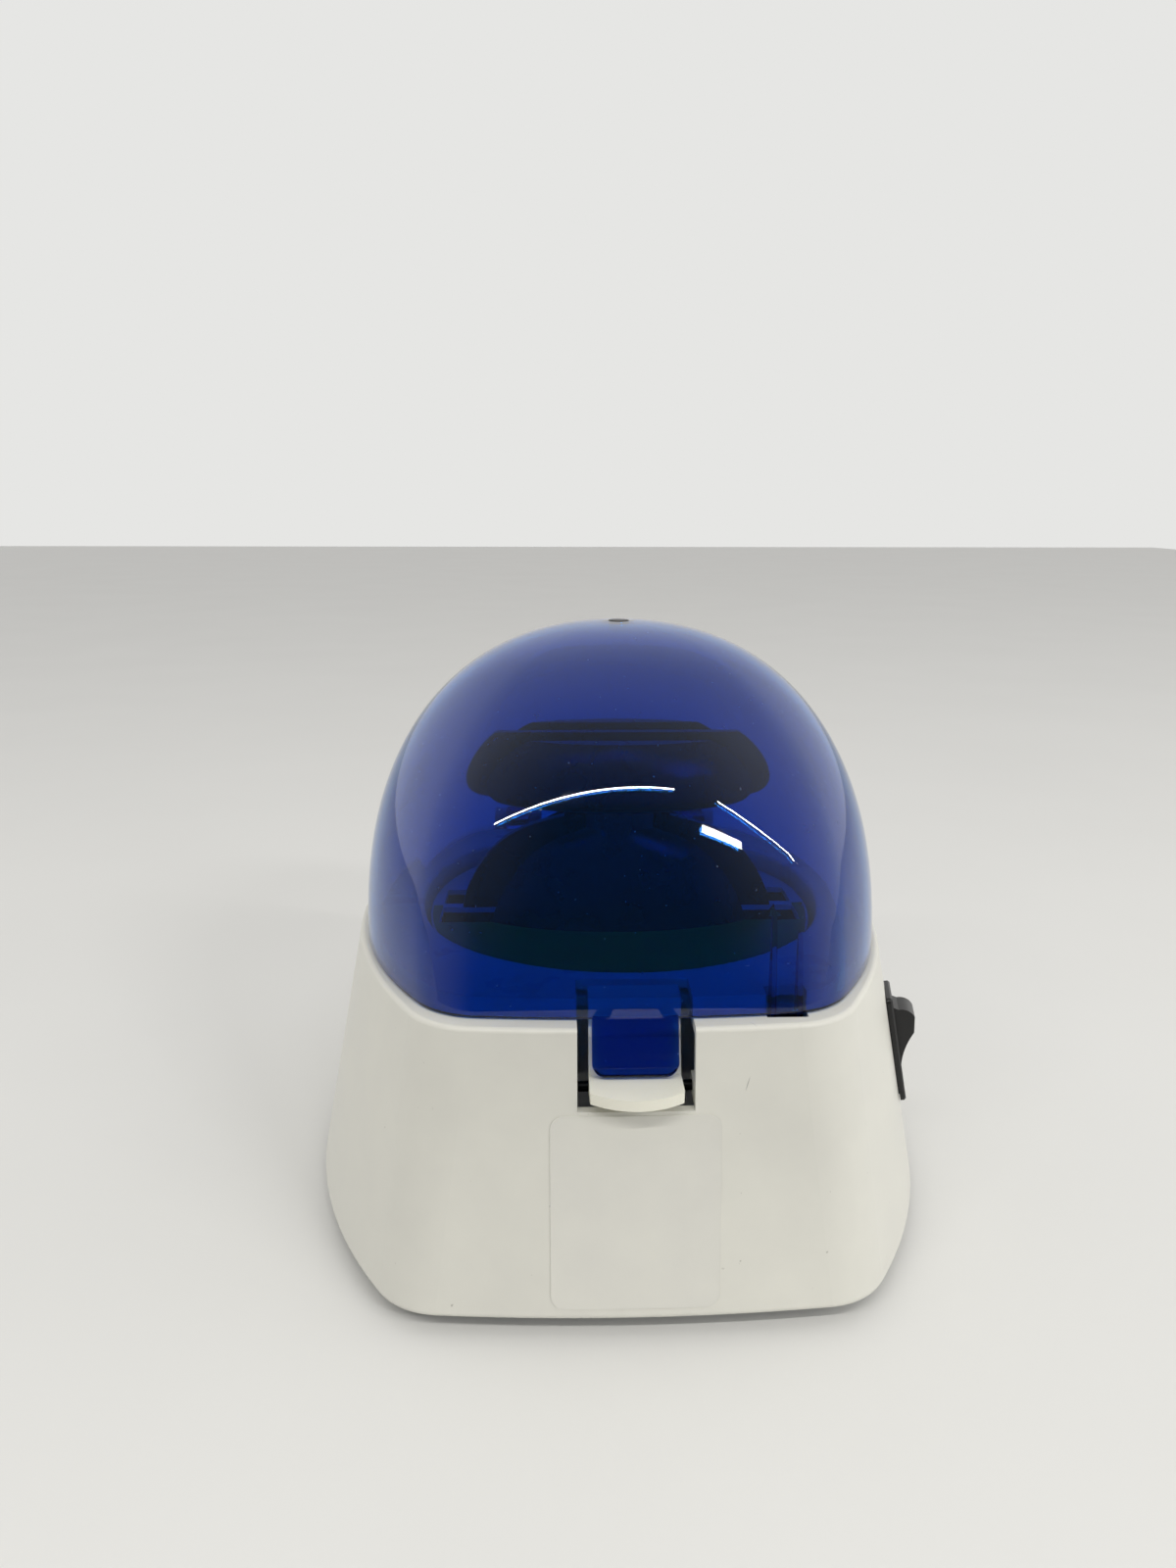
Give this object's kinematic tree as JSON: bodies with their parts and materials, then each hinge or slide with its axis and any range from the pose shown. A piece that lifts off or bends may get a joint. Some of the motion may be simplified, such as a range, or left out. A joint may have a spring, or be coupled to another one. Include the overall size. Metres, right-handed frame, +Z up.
{
  "type": "microplate centrifuge",
  "caption": "Bench-top microplate spinner: flared white housing, clear blue domed lid on a rear hinge, black twin-pocket rotor, front latch tongue and side rocker switch.",
  "frame": {"origin": "centre of the machine's outline on the table, under its feet", "axes": "+Z up, front (latch side) towards -Y, rocker switch on the +X side"},
  "size_m": [0.2148, 0.2279, 0.196],
  "materials": {
    "white_abs": "satin moulded ABS",
    "white_deck": "satin moulded ABS",
    "grey_base": "fine texture",
    "rubber_black": "matte",
    "steel": "brushed",
    "label_blank": "matt film",
    "motor_steel": "zinc plated",
    "black_plastic": "fine texture",
    "black_gloss": "gloss",
    "brass": "plain",
    "board_green": "solder mask",
    "blue_clear": "clear blue acrylic, polished",
    "rotor_black": "fine moulded texture",
    "label_yellow": "matt film"
  },
  "bodies": {
    "base": {"housing": "white_abs", "chamber": "white_deck", "base_plate": "grey_base", "feet": "rubber_black", "base_screws": "steel", "front_label": "label_blank", "motor": "motor_steel", "motor_mount": "steel", "motor_grommets": "rubber_black", "motor_screws": "steel", "shaft_seal": "rubber_black", "hinge_pins": "steel", "latch_pin": "steel", "interlock_switch": "black_plastic", "interlock_cradle": "white_abs", "switch_bezel": "black_plastic", "switch_can": "black_plastic", "rocker_pin": "steel", "board_posts": "brass", "control_board": "board_green", "board_parts": "black_plastic", "power_inlet": "black_plastic"},
    "lid": {"lid_dome": "blue_clear", "lid_plug": "rubber_black"},
    "rotor": {"rotor_bucket": "rotor_black", "rotor_flange": "white_deck", "rotor_label": "label_yellow", "rotor_web": "rotor_black", "rotor_guard_front": "rotor_black", "rotor_guard_rear": "rotor_black", "rotor_hub": "motor_steel", "motor_shaft": "steel"},
    "latch": {"latch_tongue": "white_abs"},
    "rocker": {"power_rocker": "black_gloss"},
    "interlock": {"interlock_button": "black_plastic"}
  },
  "joints": [
    {"name": "lid_hinge", "type": "hinge", "parent": "base", "child": "lid", "pos_m": [0, 0.097, 0.0985], "axis": [-1, 0, 0], "range_deg": [0, 80]},
    {"name": "rotor_spin", "type": "hinge", "parent": "base", "child": "rotor", "pos_m": [0, -0.0017, 0.0925], "axis": [0, 0, 1], "continuous": true},
    {"name": "latch_pull", "type": "hinge", "parent": "base", "child": "latch", "pos_m": [0, -0.0976, 0.072], "axis": [-1, 0, 0], "range_deg": [0, 5], "stiffness_Nm_per_rad": 0.6},
    {"name": "rocker_tilt", "type": "hinge", "parent": "base", "child": "rocker", "pos_m": [0.09148, -0.03736, 0.05424], "axis": [-0.2165, -0.9763, 0], "range_deg": [0, 16]},
    {"name": "interlock_press", "type": "slide", "parent": "base", "child": "interlock", "axis": [0, 0, -1], "range_m": [0, 0.0015], "stiffness_N_per_m": 150}
  ]
}
